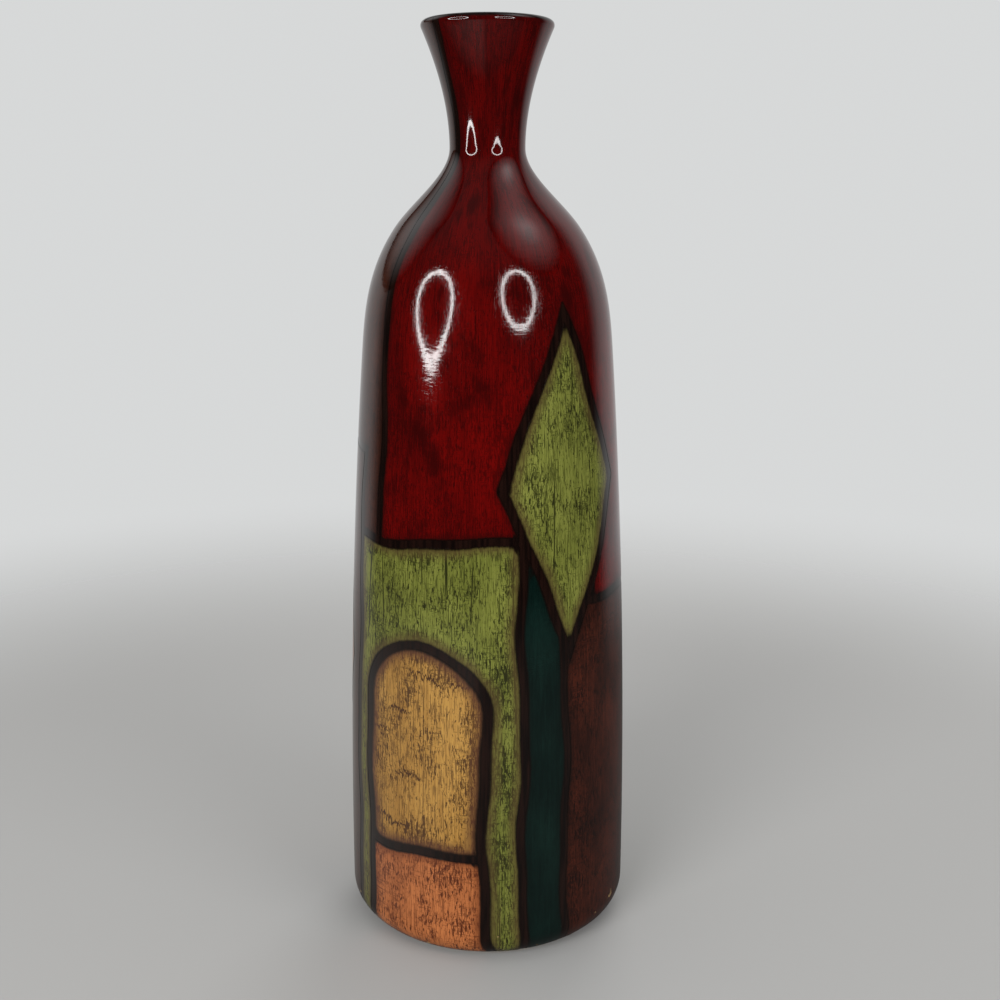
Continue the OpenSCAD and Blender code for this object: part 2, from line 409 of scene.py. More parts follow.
    def direction_at(self, z: np.ndarray) -> np.ndarray:
        """Directions out of the outside face.

        Args:
            z: The heights at which they are wanted.

        Returns:
            One row of radius and height for each of them.
        """
        face = self.outside()
        heights = [p.z for p in face]
        return np.column_stack((np.interp(z, heights, [p.out_r for p in face]),
                                np.interp(z, heights, [p.out_z for p in face])))


# Nodes

class Streaks(NamedTuple):
    """A noise on the wall, and the two levels of it between which marks appear.

    The first two numbers are features per metre, across the wall and up it. The next two are the
    octaves of the noise and the strength of the finer ones.
    """

    across: float
    up: float
    octaves: float
    finer: float
    low: float = 0.0
    high: float = 1.0


class Wire:
    """An output of a node, on which plain arithmetic adds Math nodes."""

    def __init__(self, bench: "NodeBench", socket: bpy.types.NodeSocket) -> None:
        """Note the socket and the bench that it is on."""
        self.bench = bench
        self.socket = socket

    def __add__(self, other: "Value") -> "Wire":
        """The sum of this and another value."""
        return self.bench.math("ADD", self, other)

    def __sub__(self, other: "Value") -> "Wire":
        """This less another value."""
        return self.bench.math("SUBTRACT", self, other)

    def __mul__(self, other: "Value") -> "Wire":
        """The product of this and another value."""
        return self.bench.math("MULTIPLY", self, other)


Value = Wire | float | tuple[float, ...]
NOISE_MEAN = 0.5


class Ray(Enum):
    """Kinds of ray that the studio tells apart."""

    CAMERA = "Is Camera Ray"
    GLOSSY = "Is Glossy Ray"


class NodeBench:
    """A node tree, with short ways to add the nodes that the finishes need."""

    def __init__(self, owner: bpy.types.Material | bpy.types.World) -> None:
        """Take the tree of a material or a world, and empty it.

        Args:
            owner: What the tree belongs to.
        """
        owner.use_nodes = True
        self.owner = owner
        self.tree = owner.node_tree
        self.tree.nodes.clear()

    def feed(self, socket: bpy.types.NodeSocket, value: Value) -> None:
        """Link an input to a wire, or set its value.

        Args:
            socket: The input.
            value: A wire to link, or a plain number, vector or colour.
        """
        if isinstance(value, Wire):
            self.tree.links.new(value.socket, socket)
        elif socket.type == "RGBA":
            socket.default_value = (*value, 1.0)
        else:
            socket.default_value = value

    def node(self, kind: str, *values: Value, output: str = "", **settings: object) -> Wire:
        """Add a node and feed its inputs in order.

        Args:
            kind: The node's type.
            values: What its inputs get.
            output: Name of the output that is wanted, or empty for the first one in use.
            settings: The node's properties by name.

        Returns:
            That output.
        """
        node = self.tree.nodes.new(kind)
        for name, value in settings.items():
            setattr(node, name, value)
        inputs = [socket for socket in node.inputs if socket.enabled]
        for socket, value in zip(inputs, values):
            self.feed(socket, value)
        outputs = [socket for socket in node.outputs if socket.enabled]
        return Wire(self, next(socket for socket in outputs if output in ("", socket.name)))

    def math(self, operation: str, *values: Value) -> Wire:
        """Result of a Math node."""
        return self.node("ShaderNodeMath", *values, operation=operation)

    def vector(self, operation: str, *values: Value) -> Wire:
        """Result of a Vector Math node."""
        return self.node("ShaderNodeVectorMath", *values, operation=operation)

    def axis(self, vector: Wire, name: str) -> Wire:
        """One of the three numbers of a vector."""
        return self.node("ShaderNodeSeparateXYZ", vector, output=name)

    def noise(self, place: Wire, streaks: Streaks) -> Wire:
        """A noise, about 0.5 on average."""
        stretched = self.vector("MULTIPLY", place, (streaks.across, streaks.across, streaks.up))
        return self.node("ShaderNodeTexNoise", stretched, 1.0, streaks.octaves, streaks.finer)

    def ramp(self, value: Wire, low: float, high: float) -> Wire:
        """A smooth step from 0 at low to 1 at high, or from 1 to 0 where low is the larger."""
        return self.node("ShaderNodeMapRange", value, low, high, interpolation_type="SMOOTHSTEP")

    def marks(self, noise: Wire, streaks: Streaks) -> Wire:
        """The marks that a noise gives, from 0 to 1."""
        return self.ramp(noise, streaks.low, streaks.high)

    def marked(self, place: Wire, streaks: Streaks) -> Wire:
        """The marks of a noise that is used for nothing else."""
        return self.marks(self.noise(place, streaks), streaks)

    def mix(self, share: Value, first: Value, second: Value) -> Wire:
        """A mix of two colours."""
        return self.node("ShaderNodeMix", share, first, second, data_type="RGBA")

    def bump(self, height: Wire, strength: float, depth: float) -> Wire:
        """A normal bent by a height between 0 and 1.

        Args:
            height: The height.
            strength: How much of the bend is used.
            depth: What a height of 1 measures.

        Returns:
            The normal.
        """
        normal = self.node("ShaderNodeBump")
        for name, value in {"Strength": strength, "Distance": depth, "Height": height}.items():
            self.feed(normal.socket.node.inputs[name], value)
        return normal

    def place(self) -> Wire:
        """Place on the piece, in its own coordinates."""
        return self.node("ShaderNodeTexCoord", output="Object")

    def height(self) -> Wire:
        """Height above the table."""
        return self.axis(self.place(), "Z")

    def from_axis(self) -> Wire:
        """Distance from the vertical axis."""
        return self.vector("LENGTH", self.vector("MULTIPLY", self.place(), (1, 1, 0)))

    def rolled_out(self, radius: float) -> Wire:
        """Place moved level to one radius, so that a pattern runs up and down the wall.

        Args:
            radius: The radius.

        Returns:
            The moved place.
        """
        place = self.place()
        around = self.vector("NORMALIZE", self.vector("MULTIPLY", place, (1, 1, 0)))
        rise = self.vector("MULTIPLY", place, (0, 0, 1))
        return self.vector("ADD", self.vector("MULTIPLY", around, (radius, radius, radius)), rise)

    def around(self) -> Wire:
        """Share of a turn round the vase, from -0.5 to 0.5 with 0 in front.

        Returns:
            The share.
        """
        place = self.place()
        front = self.axis(place, "Y") * -1.0
        return self.math("DIVIDE", self.math("ARCTAN2", self.axis(place, "X"), front), math.tau)

    def from_edge(self) -> Wire:
        """Distance to the edge of a colour field in millimetres, as the mesh keeps it."""
        return self.node("ShaderNodeAttribute", output="Fac", attribute_name=EDGE)

    def ray(self, kind: Ray) -> Wire:
        """1 for one kind of ray, 0 for the others."""
        return self.node("ShaderNodeLightPath", output=kind.value)

    def show(self, shader: Wire) -> None:
        """Put a shader on the owner's surface."""
        kind = "World" if isinstance(self.owner, bpy.types.World) else "Material"
        self.feed(self.tree.nodes.new(f"ShaderNodeOutput{kind}").inputs["Surface"], shader)

    def finish(self, **values: Value) -> bpy.types.Material:
        """Put a Principled shader on the material.

        Args:
            values: What its inputs get, by their names with _ for a space.

        Returns:
            The finished material.
        """
        shader = self.node("ShaderNodeBsdfPrincipled")
        for name, value in values.items():
            self.feed(shader.socket.node.inputs[name.replace("_", " ")], value)
        self.show(shader)
        return self.owner


# Finishes

VARNISH = {"Coat_Weight": 1.0, "Coat_Roughness": 0.05, "Coat_IOR": 1.5, "Specular_IOR_Level": 0.0}
UMBER: Color = (0.0036, 0.0016, 0.0011)
CREAM: Color = (0.42, 0.29, 0.13)
HALF_STEP = 0.5


@dataclass(frozen=True)
class BrokenLines:
    """Thin lines at even steps that wander over the wall and show in some places only.

    Steps are counted in a turn or in a metre of height, and a line runs in the middle of each. The
    distances from a line at which it has faded and is full are shares of a step.
    """

    steps: float
    bend: Streaks
    bend_by: float
    places: Streaks
    faded_at: float
    full_at: float

    def drawn(self, bench: NodeBench, wall: Wire, along: Wire) -> Wire:
        """Draw the lines.

        Args:
            bench: The material's nodes.
            wall: Rolled out coordinates.
            along: Steps counted on the wall, before the lines are bent.

        Returns:
            1 on a line, 0 elsewhere.
        """
        bent = along + bench.noise(wall, self.bend) * self.bend_by
        off_line = bench.math("ABSOLUTE", bench.math("FRACT", bent) - HALF_STEP)
        return bench.ramp(off_line, self.faded_at, self.full_at) * bench.marked(wall, self.places)


@dataclass(frozen=True)
class Brushwork:
    """How every colour is brushed, stained, worn and varnished."""

    body_r: float = 50 * MM
    neck_r: float = 18 * MM
    neck_from: float = 262 * MM
    neck_to: float = 296 * MM
    # height at which painted shade towards the neck begins
    shade_from: float = 212 * MM
    bristles: Streaks = Streaks(1900, 52, 3, 0.62)
    bristle_wash: float = 2.0
    clouds: Streaks = Streaks(48, 26, 3, 0.55)
    cloud_wash: float = 3.0
    wash_spread: float = 0.55
    grain: Streaks = Streaks(2300, 150, 2, 0.6, 0.52, 0.62)
    specks: Streaks = Streaks(1700, 300, 2.5, 0.62, 0.580, 0.625)
    tiny_specks: Streaks = Streaks(2600, 520, 2, 0.6, 0.585, 0.630)
    tiny_share: float = 0.9
    level_dashes: Streaks = Streaks(330, 2000, 2, 0.6, 0.625, 0.670)
    level_share: float = 0.7
    patches: Streaks = Streaks(105, 80, 2, 0.55)
    patch_share: float = 0.36
    gather_mm: tuple[float, float] = (14.0, 1.0)
    gather_share: float = 0.03
    smudges: Streaks = Streaks(85, 52, 4, 0.62, 0.49, 0.66)
    smudge_grain: float = 0.35
    cracks: BrokenLines = BrokenLines(
        steps=34.0, bend=Streaks(60, 6, 2, 0.5), bend_by=2.2,
        places=Streaks(160, 18, 1, 0.5, 0.46, 0.54), faded_at=0.042, full_at=0.014)
    squiggles: BrokenLines = BrokenLines(
        steps=88.0, bend=Streaks(42, 36, 2, 0.5), bend_by=2.4,
        places=Streaks(52, 100, 1, 0.5, 0.51, 0.57), faded_at=0.080, full_at=0.040)
    jags: Streaks = Streaks(1500, 260, 2, 0.6)
    jag_by: float = 0.7
    scrapes: Streaks = Streaks(80, 1300, 2, 0.55, 0.59, 0.65)
    scraped: Streaks = Streaks(70, 60, 1, 0.5, 0.46, 0.64)
    ragged: Streaks = Streaks(140, 90, 3, 0.6)
    ragged_border_mm: float = 3.6
    ragged_edge_mm: float = 0.9
    stain_full_mm: float = 0.3
    chips: Streaks = Streaks(230, 190, 2, 0.5, 0.665, 0.69)
    chip_heights: tuple[float, float] = (17 * MM, 8.5 * MM)
    bristle_relief: float = 0.6
    mark_relief: float = 0.4
    dull: float = 0.38
    dull_marks: float = 0.15
    bump: float = 0.35
    bump_depth: float = 0.12 * MM
    ripples: Streaks = Streaks(170, 850, 2, 0.5)
    ripple_bump: float = 0.16
    relief_in_varnish: float = 0.5
    neck_calm: float = 0.2

    def on_wall(self, bench: NodeBench, streaks: Streaks) -> Wire:
        """Noise that runs up and down the wall, as wide on the neck as on the body.

        Args:
            bench: The material's nodes.
            streaks: The noise.

        Returns:
            The noise, about 0.5 on average.
        """
        body = bench.noise(bench.rolled_out(self.body_r), streaks)
        neck = bench.noise(bench.rolled_out(self.neck_r), streaks)
        share = bench.ramp(bench.height(), self.neck_from, self.neck_to)
        return bench.node("ShaderNodeMix", share, body, neck, data_type="FLOAT")


@dataclass(frozen=True)
class AntiquedPaint:
    """A brushed colour, streaked with dark glaze, burnt towards its edges and varnished."""

    name: str
    light: Color
    deep: Color
    dark: Color
    rim: Color
    grain: float = 0.4
    dashes: float = 0.0
    blotches: float = 0.0
    cracks: float = 0.0
    squiggles: float = 0.0
    hatching: float = 0.0
    clouds: float = 0.5
    # share of painted shade that darkens the colour up the shoulder and the neck
    neck_shade: float = 0.0
    burn_mm: float = 2.4
    stain_mm: float = 7.0
    stain: float = 0.6
    work: Brushwork = Brushwork()

    def material(self) -> bpy.types.Material:
        """Make the node material.

        Returns:
            The material, which reads the distance to the field's edge from the mesh.
        """
        work, bench = self.work, NodeBench(bpy.data.materials.new(self.name))
        wall = bench.rolled_out(work.body_r)
        bristles = work.on_wall(bench, work.bristles)
        clouds = bench.noise(wall, work.clouds)
        wash = ((bristles - NOISE_MEAN) * work.bristle_wash
                + (clouds - NOISE_MEAN) * (work.cloud_wash * self.clouds))
        color = bench.mix(bench.ramp(wash, -work.wash_spread, work.wash_spread), self.light, self.deep)
        # painted shade: the colour darkens up the shoulder and the neck
        if self.neck_shade:
            up = bench.ramp(bench.height(), work.shade_from, work.neck_to)
            color = bench.mix(up * self.neck_shade, color, self.dark)
        marks = self.marks(bench, wall)
        color = bench.mix(marks, color, self.dark)
        color = self.burnt(bench, wall, bristles, color)
        chips = bench.ramp(bench.height(), *work.chip_heights) * bench.marked(wall, work.chips)
        color = bench.mix(chips, color, CREAM)
        relief = bristles * work.bristle_relief - (marks * work.mark_relief + chips)
        calm = bench.math(
            "MAXIMUM", bench.ramp(bench.height(), work.neck_to, work.neck_from), work.neck_calm)
        gloss = (relief * work.relief_in_varnish + bench.noise(wall, work.ripples)) * calm
        return bench.finish(
            Base_Color=color, Roughness=marks * work.dull_marks + work.dull,
            Normal=bench.bump(relief, work.bump, work.bump_depth),
            Coat_Normal=bench.bump(gloss, work.ripple_bump, work.bump_depth), **VARNISH)

    def marks(self, bench: NodeBench, wall: Wire) -> Wire:
        """Dark glaze caught in the grain, and in dashes, blotches, cracks, squiggles and hatching.

        Args:
            bench: The material's nodes.
            wall: Rolled out coordinates.

        Returns:
            How dark the glaze is, from 0 to 1.
        """
        work = self.work
        grain = work.on_wall(bench, work.grain)
        parts = [bench.marks(grain, work.grain) * self.grain]
        if self.dashes:
            gathered = (bench.ramp(bench.from_edge(), *work.gather_mm) * work.gather_share
                        + (bench.noise(wall, work.patches) - NOISE_MEAN) * work.patch_share)
            for streaks, share in ((work.specks, 1.0), (work.tiny_specks, work.tiny_share),
                                   (work.level_dashes, work.level_share)):
                dash = bench.marks(work.on_wall(bench, streaks) + gathered, streaks)
                parts.append(dash * (share * self.dashes))
        if self.blotches:
            brushed = (grain - NOISE_MEAN) * work.smudge_grain
            smudge = bench.marks(bench.noise(wall, work.smudges) + brushed, work.smudges)
            parts.append(smudge * self.blotches)
        if self.cracks:
            along = bench.around() * work.cracks.steps
            parts.append(work.cracks.drawn(bench, wall, along) * self.cracks)
        if self.squiggles:
            jags = work.on_wall(bench, work.jags) * work.jag_by
            along = bench.height() * work.squiggles.steps + jags
            parts.append(work.squiggles.drawn(bench, wall, along) * self.squiggles)
        if self.hatching:
            scrapes = bench.marked(wall, work.scrapes) * bench.marked(wall, work.scraped)
            parts.append(scrapes * self.hatching)
        total = parts[0]
        for part in parts[1:]:
            total = bench.math("MAXIMUM", total, part)
        return total

    def burnt(self, bench: NodeBench, wall: Wire, bristles: Wire, color: Wire) -> Wire:
        """Darken a colour towards the edges of its field.

        Args:
            bench: The material's nodes.
            wall: Rolled out coordinates.
            bristles: Fine upright streaks.
            color: The colour away from the edges.

        Returns:
            The colour with a stained border and a burnt edge.
        """
        work, distance = self.work, bench.from_edge()
        uneven = bench.noise(wall, work.ragged) + bristles - 2 * NOISE_MEAN
        soft = distance + uneven * work.ragged_border_mm
        crisp = distance + uneven * work.ragged_edge_mm
        border = bench.ramp(soft, self.stain_mm, work.stain_full_mm) * self.stain
        edge = bench.ramp(crisp, self.burn_mm, 0.0)
        return bench.mix(edge, bench.mix(border, color, self.rim), UMBER)


class Paint(Enum):
    """The colours of the painting, by their material slots."""

    RED = "red_paint"
    GREEN = "green_paint"
    OLIVE = "olive_paint"
    OCHRE = "ochre_paint"
    ORANGE = "orange_paint"
    TEAL = "teal_paint"
    BROWN = "brown_paint"
    RUST = "rust_paint"


PAINTS: dict[Paint, AntiquedPaint] = {
    Paint.RED: AntiquedPaint(
        "antiqued red", light=(0.112, 0.0013, 0.0009), deep=(0.058, 0.0008, 0.0007),
        dark=(0.015, 0.0006, 0.0006), rim=(0.024, 0.0010, 0.0009), grain=0.45, dashes=0.65, blotches=0.75,
        cracks=0.3, clouds=0.8, neck_shade=0.38, burn_mm=0.9, stain_mm=3.0, stain=0.5),
    Paint.GREEN: AntiquedPaint(
        "antiqued green", light=(0.190, 0.204, 0.042), deep=(0.108, 0.120, 0.021),
        dark=(0.014, 0.014, 0.004), rim=(0.070, 0.048, 0.016),
        grain=0.70, dashes=0.95, cracks=0.95, burn_mm=1.3, stain_mm=5.5, stain=0.80),
    Paint.OLIVE: AntiquedPaint(
        "antiqued olive", light=(0.116, 0.148, 0.034), deep=(0.068, 0.090, 0.018),
        dark=(0.010, 0.012, 0.004), rim=(0.046, 0.034, 0.012),
        grain=0.70, dashes=0.95, cracks=0.8, burn_mm=1.3, stain_mm=5.5, stain=0.75),
    Paint.OCHRE: AntiquedPaint(
        "antiqued ochre", light=(0.425, 0.232, 0.054), deep=(0.268, 0.132, 0.027),
        dark=(0.034, 0.0115, 0.005), rim=(0.074, 0.028, 0.015),
        grain=0.60, dashes=0.9, cracks=0.6, squiggles=0.95, burn_mm=1.8, stain_mm=6.5, stain=0.9),
    Paint.ORANGE: AntiquedPaint(
        "antiqued orange", light=(0.450, 0.150, 0.048), deep=(0.285, 0.088, 0.028),
        dark=(0.060, 0.013, 0.006), rim=(0.110, 0.028, 0.010),
        grain=0.55, dashes=0.95, hatching=0.85, burn_mm=1.1, stain_mm=4.0, stain=0.7),
    Paint.TEAL: AntiquedPaint(
        "antiqued teal", light=(0.0030, 0.0130, 0.0100), deep=(0.0010, 0.0060, 0.0048),
        dark=(0.0006, 0.0030, 0.0024), rim=(0.0010, 0.0040, 0.0032),
        grain=0.35, dashes=0.3, clouds=0.8, burn_mm=1.0, stain_mm=4.0, stain=0.5),
    Paint.BROWN: AntiquedPaint(
        "antiqued brown", light=(0.046, 0.0120, 0.0060), deep=(0.025, 0.0062, 0.0032),
        dark=(0.0070, 0.0020, 0.0013), rim=(0.0110, 0.0032, 0.0020),
        grain=0.45, dashes=0.7, hatching=0.4, clouds=0.6, burn_mm=0.9, stain_mm=4.0, stain=0.5),
    Paint.RUST: AntiquedPaint(
        "antiqued rust", light=(0.060, 0.0115, 0.0050), deep=(0.028, 0.0058, 0.0028),
        dark=(0.0065, 0.0018, 0.0011), rim=(0.0120, 0.0030, 0.0016), grain=0.55, dashes=0.95, blotches=0.45,
        hatching=0.5, clouds=0.8, burn_mm=0.9, stain_mm=4.0, stain=0.5),
}


@dataclass(frozen=True)
class DarkGround:
    """The dark umber ground that shows as lines, varnished with the colours."""

    name: str = "umber ground"
    warm: Color = (0.0098, 0.0036, 0.0024)
    cold: Color = (0.0028, 0.0012, 0.0009)
    wall_r: float = 50 * MM
    brush: Streaks = Streaks(900, 40, 3, 0.6, 0.35, 0.65)
    dull: float = 0.34
    dull_brush: float = 0.2
    bump: float = 0.2
    bump_depth: float = 0.1 * MM

    def material(self) -> bpy.types.Material:
        """Make the node material.

        Returns:
            The material.
        """
        bench = NodeBench(bpy.data.materials.new(self.name))
        brush = bench.noise(bench.rolled_out(self.wall_r), self.brush)
        return bench.finish(
            Base_Color=bench.mix(bench.marks(brush, self.brush), self.cold, self.warm),
            Roughness=brush * self.dull_brush + self.dull,
            Normal=bench.bump(brush, self.bump, self.bump_depth), **VARNISH)


@dataclass(frozen=True)
class PouredGlaze:
    """The thin brown glaze that lines the inside."""

    name: str = "poured glaze"
    thin: Color = (0.285, 0.165, 0.080)
    pooled: Color = (0.190, 0.098, 0.044)
    wall_r: float = 45 * MM
    runs: Streaks = Streaks(90, 14, 4, 0.55, 0.35, 0.68)
    specks: Streaks = Streaks(900, 900, 2, 0.5, 0.66, 0.72)
    speck_share: float = 0.7
    dull: float = 0.18
    dull_runs: float = 0.2
    bump: float = 0.3
    bump_depth: float = 0.3 * MM

    def material(self) -> bpy.types.Material:
        """Make the node material.

        Returns:
            The material.
        """
        bench = NodeBench(bpy.data.materials.new(self.name))
        runs = bench.noise(bench.rolled_out(self.wall_r), self.runs)
        color = bench.mix(bench.marks(runs, self.runs), self.thin, self.pooled)
        specks = bench.marked(bench.place(), self.specks)
        return bench.finish(
            Base_Color=bench.mix(specks * self.speck_share, color, UMBER),
            Roughness=runs * self.dull_runs + self.dull,
            Normal=bench.bump(runs, self.bump, self.bump_depth))


@dataclass(frozen=True)
class BareClay:
    """Fired clay, bare on the foot ring and under the floor."""

    name: str = "fired clay"
    pale: Color = (0.610, 0.440, 0.235)
    dusty: Color = (0.470, 0.318, 0.160)
    burnt: Color = (0.20, 0.11, 0.05)
    blotches: Streaks = Streaks(80, 80, 4, 0.6, 0.35, 0.68)
    grog: Streaks = Streaks(1500, 1500, 2, 0.6, 0.62, 0.7)
    grog_share: float = 0.6
    ring_pitch: float = 1.3 * MM
    ring_relief: float = 0.15
    dull: float = 0.72
    dull_grog: float = 0.2
    bump: float = 0.5
    bump_depth: float = 0.25 * MM

    def material(self) -> bpy.types.Material:
        """Make the node material.

        Returns:
            The material.
        """
        bench = NodeBench(bpy.data.materials.new(self.name))
        place = bench.place()
        grog = bench.noise(place, self.grog)
        rings = bench.math("SINE", bench.from_axis() * (math.tau / self.ring_pitch))
        color = bench.mix(bench.marked(place, self.blotches), self.pale, self.dusty)
        return bench.finish(
            Base_Color=bench.mix(bench.marks(grog, self.grog) * self.grog_share, color, self.burnt),
            Roughness=grog * self.dull_grog + self.dull,
            Normal=bench.bump(grog + rings * self.ring_relief, self.bump, self.bump_depth))


# Shapes of the painting

def outward(angle: float) -> np.ndarray:
    """Level direction out of the vase at an angle from the front."""
    return np.array((math.sin(angle), -math.cos(angle), 0.0))


def rightward(angle: float) -> np.ndarray:
    """Level direction to the right along the wall, at an angle from the front."""
    return np.array((math.cos(angle), math.sin(angle), 0.0))


def upright(z: float) -> np.ndarray:
    """A point of the axis at a height, or a vector straight up or down."""
    return np.array((0.0, 0.0, z))


class Face(NamedTuple):
    """A flat side of a shape: a point on it and the direction into the shape."""

    at: np.ndarray
    into: np.ndarray

    def depth(self, points: np.ndarray) -> np.ndarray:
        """How far points lie inside the face."""
        return (points - self.at) @ self.into


class Shape:
    """A shape of the painting, as the solid that cuts it out of the coat."""

    def depth(self, points: np.ndarray) -> np.ndarray:
        """How far points lie inside the shape, below 0 outside it."""
        raise NotImplementedError

    def cutter(self, grow: float) -> bpy.types.Object:
        """A closed solid of the shape with its sides moved out by grow."""
        raise NotImplementedError


class FlatSided(Shape):
    """A shape with flat sides only."""

    def faces(self) -> list[Face]:
        """The sides of the shape."""
        raise NotImplementedError

    def depth(self, points: np.ndarray) -> np.ndarray:
        """How far points lie inside the shape, below 0 outside it."""
        return np.minimum.reduce([face.depth(points) for face in self.faces()])

    def cutter(self, grow: float) -> bpy.types.Object:
        """Cut the shape from a block, side by side.

        Args:
            grow: How far the sides are moved out.

        Returns:
            A closed solid.
        """
        block = fresh(bpy.ops.mesh.primitive_cube_add, "cutter", size=4 * FAR)
        for face in self.faces():
            slice_off(block, Vector(face.at - grow * face.into), Vector(-face.into), cap=True)
        return block


@dataclass(frozen=True)
class Wedge(FlatSided):
    """The part of the vase between two upright lines."""

    left: float
    right: float

    def faces(self) -> list[Face]:
        """The two upright sides."""
        return [Face(upright(0), rightward(math.radians(self.left))),
                Face(upright(0), -rightward(math.radians(self.right)))]


@dataclass(frozen=True)
class Panel(Wedge):
    """The part of a wedge below a line that may slope up to the right."""

    top: float
    slope: float = 0.0

    def faces(self) -> list[Face]:
        """The sides of the panel.

        Returns:
            The two upright sides and the top.
        """
        across = rightward(math.radians((self.left + self.right) / 2))
        tilt = math.radians(self.slope)
        into = across * math.sin(tilt) - upright(math.cos(tilt))
        return super().faces() + [Face(upright(self.top), into)]


@dataclass(frozen=True)
class Lozenge(FlatSided):
    """An upright lozenge, cut straight in from an angle."""

    angle: float
    half_w: float
    half_h: float
    mid: float

    def faces(self) -> list[Face]:
        """The sides of the lozenge.

        Returns:
            The face through the axis behind it, and its four sides.
        """
        turn = math.radians(self.angle)
        across, middle = rightward(turn), upright(self.mid)
        faces = [Face(upright(0), outward(turn))]
        for side in (-1, 1):
            for end in (-1, 1):
                into = -(side * across * self.half_h + end * upright(self.half_w))
                faces.append(Face(middle + side * across * self.half_w, into / np.linalg.norm(into)))
        return faces


@dataclass(frozen=True)
class Block(FlatSided):
    """An upright block on the table, cut straight in from an angle."""

    angle: float
    half_w: float
    top: float

    def faces(self) -> list[Face]:
        """The sides of the block.

        Returns:
            The face through the axis behind it, its two sides and its top.
        """
        turn = math.radians(self.angle)
        across = rightward(turn)
        return [
            Face(upright(0), outward(turn)),
            Face(-across * self.half_w, across),
            Face(across * self.half_w, -across),
            Face(upright(self.top), upright(-1)),
        ]


@dataclass(frozen=True)
class Arch(Shape):
    """An upright arch from the table to a round top, cut straight in from an angle."""

    angle: float
    half_w: float
    spring: float

    def depth(self, points: np.ndarray) -> np.ndarray:
        """How far points lie inside the arch.

        Args:
            points: The places of the points.

        Returns:
            Their depths, below 0 outside the arch.
        """
        turn = math.radians(self.angle)
        above = np.maximum(points[:, 2] - self.spring, 0)
        inside = self.half_w - np.hypot(points @ rightward(turn), above)
        return np.minimum(inside, points @ outward(turn))

    def cutter(self, grow: float) -> bpy.types.Object:
        """Lay a cylinder towards the axis and draw its lower half down below the table.

        Args:
            grow: How far the sides are moved out.

        Returns:
            A closed solid.
        """
        turn = math.radians(self.angle)
        cutter = fresh(
            bpy.ops.mesh.primitive_cylinder_add, "cutter", vertices=ARCH_SIDES, depth=FAR,
            radius=self.half_w + grow, rotation=(QUARTER, 0, turn),
            location=outward(turn) * FAR / 2 + upright(self.spring))
        bpy.ops.object.transform_apply(location=True, rotation=True, scale=True)
        edit(cutter)
        bpy.ops.mesh.select_all(action="DESELECT")
        leave_edit()
        for vertex in cutter.data.vertices:
            vertex.select = vertex.co.z < self.spring - MERGE
        bpy.ops.object.mode_set(mode="EDIT")
        bpy.ops.transform.resize(value=(1, 1, 0), center_override=(0, 0, -FAR))
        leave_edit()
        return cutter


# Sub-assemblies

def seat(piece: bpy.types.Object, node: str, material: bpy.types.Material) -> None:
    """Dress a finished piece and put it in the place of its CAD node.

    Args:
        piece: The finished object.
        node: The CAD node that it stands for.
        material: The finish.
    """
    piece.data.materials.clear()
    piece.data.materials.append(material)
    pick(piece)
    bpy.ops.object.shade_smooth_by_angle(angle=SMOOTH_BELOW)
    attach(piece, BODY)
    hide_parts(node)
    LOG.info("%s: %d faces, for %s", piece.name, len(piece.data.polygons), node)


@dataclass(frozen=True)
class ClayBody:
    """The hollow clay body on its foot ring."""

    outline: Outline
    foot_ring_w: float = 8 * MM
    hollow_h: float = 2.2 * MM
    soft_edge: float = 0.5 * MM
    soft_steps: int = 3
    soft_above: float = math.radians(40)

    def build(self) -> None:
        """Turn the body and soften the edges of its foot ring."""
        outline = self.outline
        outside = moved(outline.outside() + outline.over_lip(), -outline.ground_t)
        inside = moved(outline.mouth() + outline.lining(), outline.liner_t)
        foot_r = outside[0][0]
        ring_r = foot_r - self.foot_ring_w
        under = [(0, self.hollow_h), (ring_r - self.hollow_h, self.hollow_h), (ring_r, 0), (foot_r, 0)]
        body = turn_on_wheel("thrown_clay_body", under + outside + inside)
        modify(body, "BEVEL", width=self.soft_edge, segments=self.soft_steps,
               limit_method="ANGLE", angle_limit=self.soft_above)
        seat(body, "clay_body", BareClay().material())


@dataclass(frozen=True)
class Coats:
    """The glaze inside and the dark ground outside."""

    outline: Outline

    def build(self) -> None:
        """Build both coats."""
        self.build_liner()
        self.build_ground()

    def build_liner(self) -> None:
        """Turn the glaze that lines the inside from the waist of the neck to the floor."""
        liner = turn_on_wheel("poured_liner_glaze", moved(self.outline.lining(), 0))
        thicken(liner, self.outline.liner_t, outwards=True)
        seat(liner, "liner_glaze", PouredGlaze().material())

    def build_ground(self) -> None:
        """Turn the dark ground over the outside, the lip and the inside of the neck."""
        face = self.outline.outside() + self.outline.over_lip() + self.outline.mouth()
        ground = turn_on_wheel("brushed_ground_coat", moved(face, 0))
        thicken(ground, self.outline.ground_t, outwards=False)
        seat(ground, "ground_coat", DarkGround().material())


@dataclass(frozen=True)
class ColourField:
    """One field of the painting: its CAD node, its paint, its shape and what is left out of it."""

    node: str
    paint: Paint
    shape: Shape
    cuts: tuple[Shape, ...] = ()


